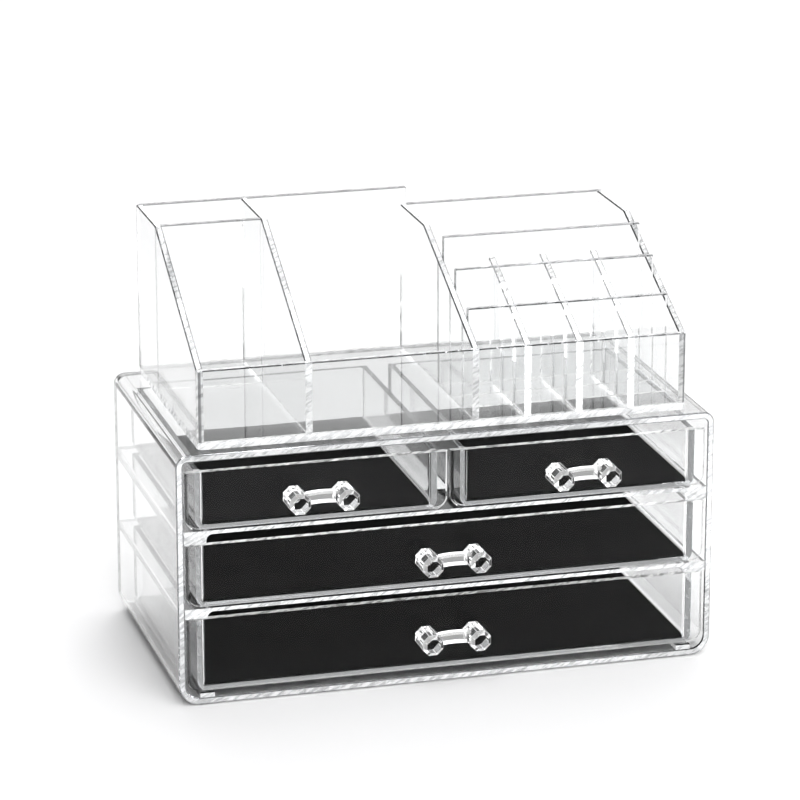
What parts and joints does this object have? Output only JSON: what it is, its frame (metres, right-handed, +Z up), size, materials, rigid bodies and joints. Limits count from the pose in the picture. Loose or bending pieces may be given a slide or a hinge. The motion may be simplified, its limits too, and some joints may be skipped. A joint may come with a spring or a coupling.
{
  "type": "makeup organizer",
  "caption": "Clear tabletop cosmetics organizer: a rounded chest of lined sliding drawers with faceted handles, under a lift-off tray with sloping walls, open bays and lipstick slots",
  "frame": {"origin": "middle of the footprint, handles included, on the surface that the chest stands on", "axes": "X along the width to the right seen from the front, Y from the handles to the back, Z up"},
  "size_m": [0.238, 0.1396, 0.1884],
  "materials": {
    "clear_acrylic": "polished clear",
    "black_liner": "matte short pile"
  },
  "bodies": {
    "chest": {"chest_sleeve": "clear_acrylic", "chest_back_panel": "clear_acrylic", "lower_shelf": "clear_acrylic", "upper_shelf": "clear_acrylic", "left_runner": "clear_acrylic", "right_runner": "clear_acrylic"},
    "top_left_drawer_body": {"top_left_drawer": "clear_acrylic", "top_left_handle": "clear_acrylic", "top_left_liner": "black_liner"},
    "top_right_drawer_body": {"top_right_drawer": "clear_acrylic", "top_right_handle": "clear_acrylic", "top_right_liner": "black_liner"},
    "middle_drawer_body": {"middle_drawer": "clear_acrylic", "middle_handle": "clear_acrylic", "middle_liner": "black_liner"},
    "lower_drawer_body": {"lower_drawer": "clear_acrylic", "lower_handle": "clear_acrylic", "lower_liner": "black_liner"},
    "tray": {"tray_base": "clear_acrylic", "tray_front_wall": "clear_acrylic", "tray_back_wall": "clear_acrylic", "tray_left_wall": "clear_acrylic", "tray_right_wall": "clear_acrylic", "left_divider": "clear_acrylic", "centre_divider": "clear_acrylic", "brush_partition": "clear_acrylic", "slot_divider_1": "clear_acrylic", "slot_divider_2": "clear_acrylic", "slot_divider_3": "clear_acrylic", "front_cross_partition": "clear_acrylic", "rear_cross_partition": "clear_acrylic", "slot_back_wall": "clear_acrylic"}
  },
  "joints": [
    {"name": "top_left_drawer_slide", "type": "slide", "parent": "chest", "child": "top_left_drawer_body", "axis": [0, -1, 0], "range_m": [0, 0.1]},
    {"name": "top_right_drawer_slide", "type": "slide", "parent": "chest", "child": "top_right_drawer_body", "axis": [0, -1, 0], "range_m": [0, 0.1]},
    {"name": "middle_drawer_slide", "type": "slide", "parent": "chest", "child": "middle_drawer_body", "axis": [0, -1, 0], "range_m": [0, 0.1]},
    {"name": "lower_drawer_slide", "type": "slide", "parent": "chest", "child": "lower_drawer_body", "axis": [0, -1, 0], "range_m": [0, 0.1]},
    {"name": "tray_lift", "type": "slide", "parent": "chest", "child": "tray", "axis": [0, 0, 1], "range_m": [0, 0.04]}
  ]
}
